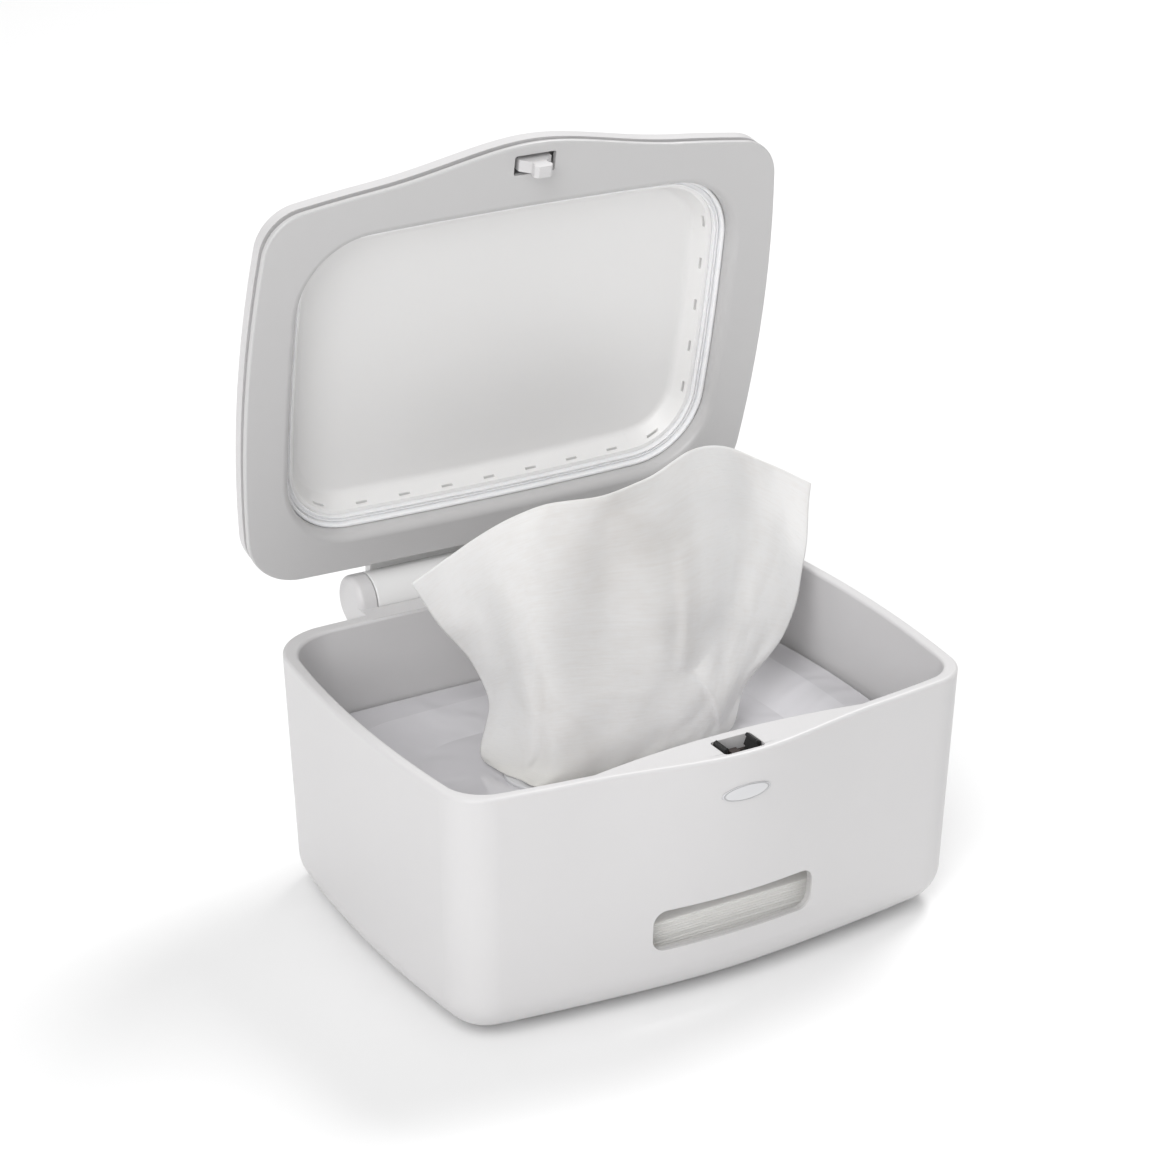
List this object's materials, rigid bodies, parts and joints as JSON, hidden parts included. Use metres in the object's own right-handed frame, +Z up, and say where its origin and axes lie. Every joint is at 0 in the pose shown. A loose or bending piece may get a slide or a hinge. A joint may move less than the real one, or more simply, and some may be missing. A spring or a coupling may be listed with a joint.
{
  "type": "wipes dispenser",
  "caption": "Tub for baby wipes with a hinged lid that is latched and sealed, a weighted plate with a slot that keeps the wipes flat, and a low front window.",
  "frame": {"origin": "On the surface that the feet rest on, below the middle of the whole object with its lid open.", "axes": "+X to the right seen from the front, +Y from the front to the hinge, +Z up. The object is the same on both sides of X."},
  "size_m": [0.2344, 0.2094, 0.2961],
  "materials": {
    "white_plastic": "satin white moulded plastic",
    "face_plastic": "smooth white moulded plastic",
    "plate_plastic": "glossy pale lavender grey plastic",
    "soft_grey": "pale grey soft elastomer",
    "soft_clear": "translucent soft elastomer",
    "clear_window": "clear plastic window",
    "black_plastic": "matte black engineering plastic",
    "brown_plastic": "matte brown black plastic",
    "spring_steel": "plain spring steel",
    "weight_steel": "coated steel",
    "wipe_cloth": "moist white non-woven cloth",
    "badge_plastic": "blank badge"
  },
  "bodies": {
    "tub": {"tub_shell": "white_plastic", "window_pane": "clear_window", "front_badge": "badge_plastic", "foot_pads": "soft_clear", "latch_housing": "black_plastic", "latch_spring": "spring_steel", "wipes_stack": "wipe_cloth"},
    "lid": {"lid_cover": "white_plastic", "lid_frame": "face_plastic", "lid_gasket": "soft_grey", "lid_tray": "face_plastic", "hinge_barrel": "white_plastic", "hinge_pins": "spring_steel", "hinge_spring": "spring_steel", "hinge_damper": "black_plastic", "button_springs": "spring_steel"},
    "button": {"release_button": "white_plastic", "striker": "white_plastic", "striker_screws": "spring_steel"},
    "carriage": {"latch_carriage": "brown_plastic", "jaw_pins": "spring_steel"},
    "jaw_left": {"latch_jaw_left": "black_plastic"},
    "jaw_right": {"latch_jaw_right": "black_plastic"},
    "plate": {"plate_cover": "plate_plastic", "plate_base": "plate_plastic", "plate_weights": "weight_steel", "slot_lip": "soft_grey", "pulled_wipe": "wipe_cloth"}
  },
  "joints": [
    {"name": "lid_hinge", "type": "hinge", "parent": "tub", "child": "lid", "pos_m": [0, 0.08967, 0.1037], "axis": [1, 0, 0], "range_deg": [0, 78.92], "stiffness_Nm_per_rad": 0.18, "springref_deg": -31.51, "deforming": ["pulled_wipe"]},
    {"name": "button_press", "type": "slide", "parent": "lid", "child": "button", "axis": [0, -0.9814, -0.1922], "range_m": [0, 0.001], "stiffness_N_per_m": 600, "springref_m": -0.001, "deforming": ["button_springs"]},
    {"name": "latch_slide", "type": "slide", "parent": "tub", "child": "carriage", "axis": [0, 0, -1], "range_m": [0, 0.0049], "deforming": ["latch_spring"]},
    {"name": "jaw_left_turn", "type": "hinge", "parent": "carriage", "child": "jaw_left", "pos_m": [-0.0044, -0.09563, 0.098], "axis": [0, 1, 0], "range_deg": [0, 22]},
    {"name": "jaw_right_turn", "type": "hinge", "parent": "carriage", "child": "jaw_right", "pos_m": [0.0044, -0.09563, 0.098], "axis": [0, -1, 0], "range_deg": [0, 22]},
    {"name": "plate_slide", "type": "slide", "parent": "tub", "child": "plate", "axis": [0, 0, 1], "range_m": [-0.034, 0.02], "deforming": ["wipes_stack"]}
  ],
  "couplings": [
    {"joint": "latch_slide", "follows": "lid_hinge", "m_per_rad": 0.003557},
    {"joint": "jaw_left_turn", "follows": "lid_hinge", "ratio": 0.2787},
    {"joint": "jaw_right_turn", "follows": "lid_hinge", "ratio": 0.2787}
  ]
}
